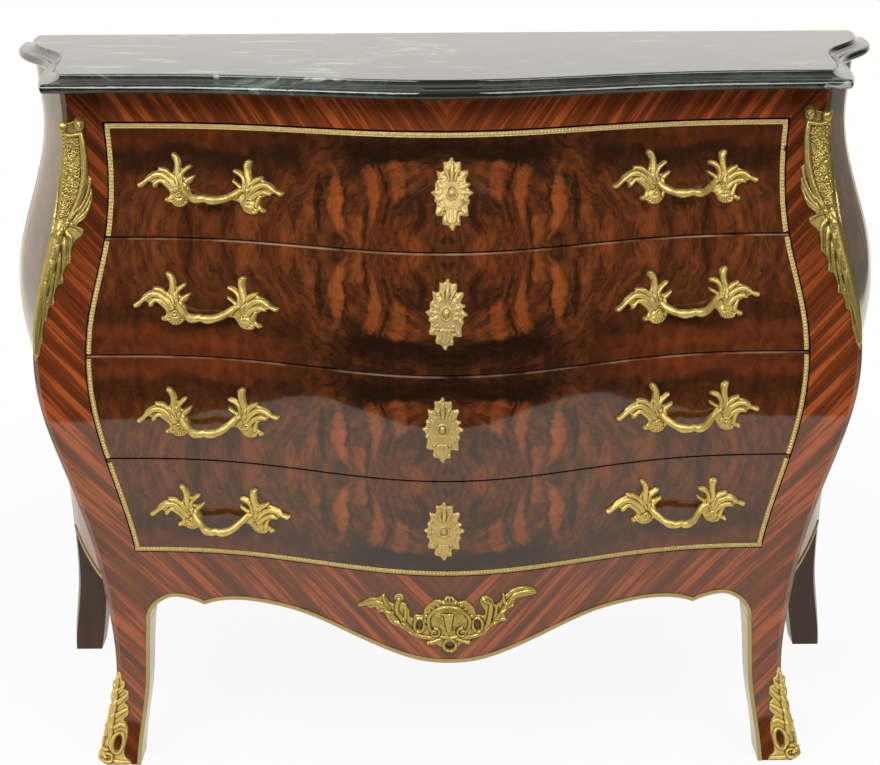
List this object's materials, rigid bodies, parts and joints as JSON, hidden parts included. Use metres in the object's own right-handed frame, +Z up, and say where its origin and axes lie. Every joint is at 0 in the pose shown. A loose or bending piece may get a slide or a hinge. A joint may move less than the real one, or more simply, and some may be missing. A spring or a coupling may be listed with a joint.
{
  "type": "bombe chest",
  "caption": "Bombe commode with a serpentine swelling front, stacked sliding drawers, a moulded marble top, cabriole legs and cast brass mounts.",
  "frame": {"origin": "on the floor, under the middle of the chest's overall width and depth", "axes": "+X to the right of a person who faces the chest, -Y towards that person, +Z up"},
  "size_m": [1.1912, 0.5886, 0.88],
  "materials": {
    "burl_veneer": "gloss",
    "kingwood_veneer": "gloss",
    "dark_wood": "satin",
    "secondary_wood": "matte",
    "drawer_lining": "matte",
    "gilt_brass": "satin",
    "screw_steel": "satin",
    "green_marble": "polished"
  },
  "bodies": {
    "carcase": {"marble_top": "green_marble", "top_board": "secondary_wood", "bottom_board": "secondary_wood", "back_panel": "secondary_wood", "dustboard_1": "secondary_wood", "dustboard_2": "secondary_wood", "dustboard_3": "secondary_wood", "drawer_guides": "secondary_wood", "drawer_stops": "secondary_wood", "front_top_rail": "kingwood_veneer", "front_apron": "kingwood_veneer", "front_left_leg": "kingwood_veneer", "front_right_leg": "kingwood_veneer", "left_side_panel": "kingwood_veneer", "right_side_panel": "kingwood_veneer", "rear_left_leg": "dark_wood", "rear_right_leg": "dark_wood", "left_corner_mount": "gilt_brass", "right_corner_mount": "gilt_brass", "left_foot_mount": "gilt_brass", "right_foot_mount": "gilt_brass", "apron_mount": "gilt_brass", "edge_trim": "gilt_brass", "back_screws": "screw_steel"},
    "drawer_1": {"drawer_1_front": "burl_veneer", "drawer_1_sides": "drawer_lining", "drawer_1_back": "drawer_lining", "drawer_1_bottom": "drawer_lining", "drawer_1_beading": "gilt_brass", "drawer_1_left_handle": "gilt_brass", "drawer_1_right_handle": "gilt_brass", "drawer_1_escutcheon": "gilt_brass", "drawer_1_screws": "screw_steel"},
    "drawer_2": {"drawer_2_front": "burl_veneer", "drawer_2_sides": "drawer_lining", "drawer_2_back": "drawer_lining", "drawer_2_bottom": "drawer_lining", "drawer_2_beading": "gilt_brass", "drawer_2_left_handle": "gilt_brass", "drawer_2_right_handle": "gilt_brass", "drawer_2_escutcheon": "gilt_brass", "drawer_2_screws": "screw_steel"},
    "drawer_3": {"drawer_3_front": "burl_veneer", "drawer_3_sides": "drawer_lining", "drawer_3_back": "drawer_lining", "drawer_3_bottom": "drawer_lining", "drawer_3_beading": "gilt_brass", "drawer_3_left_handle": "gilt_brass", "drawer_3_right_handle": "gilt_brass", "drawer_3_escutcheon": "gilt_brass", "drawer_3_screws": "screw_steel"},
    "drawer_4": {"drawer_4_front": "burl_veneer", "drawer_4_sides": "drawer_lining", "drawer_4_back": "drawer_lining", "drawer_4_bottom": "drawer_lining", "drawer_4_beading": "gilt_brass", "drawer_4_left_handle": "gilt_brass", "drawer_4_right_handle": "gilt_brass", "drawer_4_escutcheon": "gilt_brass", "drawer_4_screws": "screw_steel"}
  },
  "joints": [
    {"name": "drawer_1_slide", "type": "slide", "parent": "carcase", "child": "drawer_1", "axis": [0, -1, 0], "range_m": [0, 0.3]},
    {"name": "drawer_2_slide", "type": "slide", "parent": "carcase", "child": "drawer_2", "axis": [0, -1, 0], "range_m": [0, 0.3]},
    {"name": "drawer_3_slide", "type": "slide", "parent": "carcase", "child": "drawer_3", "axis": [0, -1, 0], "range_m": [0, 0.3]},
    {"name": "drawer_4_slide", "type": "slide", "parent": "carcase", "child": "drawer_4", "axis": [0, -1, 0], "range_m": [0, 0.3]}
  ]
}
